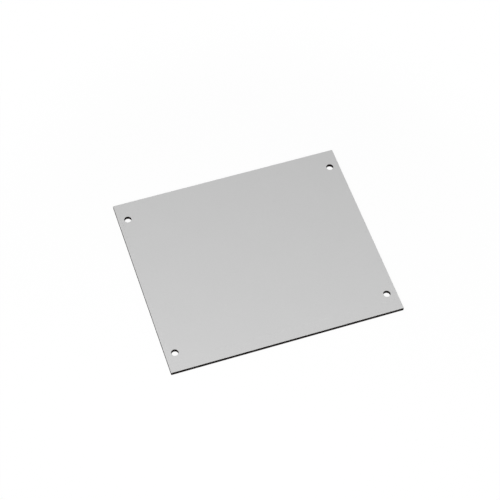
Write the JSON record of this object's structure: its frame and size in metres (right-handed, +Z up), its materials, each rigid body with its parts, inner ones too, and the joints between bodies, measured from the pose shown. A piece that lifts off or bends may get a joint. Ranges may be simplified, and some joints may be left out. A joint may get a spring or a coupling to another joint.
{
  "type": "mounting plate",
  "caption": "Flat rectangular mounting plate of grey laminate with a dark core, drilled near each corner, that carries devices inside an enclosure.",
  "frame": {"origin": "middle of the underside, which lies on z = 0", "axes": "+X along the longer side, +Y along the shorter side, +Z up out of the top face"},
  "size_m": [0.15, 0.13, 0.0025],
  "materials": {
    "laminate": "satin"
  },
  "bodies": {
    "root": {"plate": "laminate"}
  },
  "joints": []
}
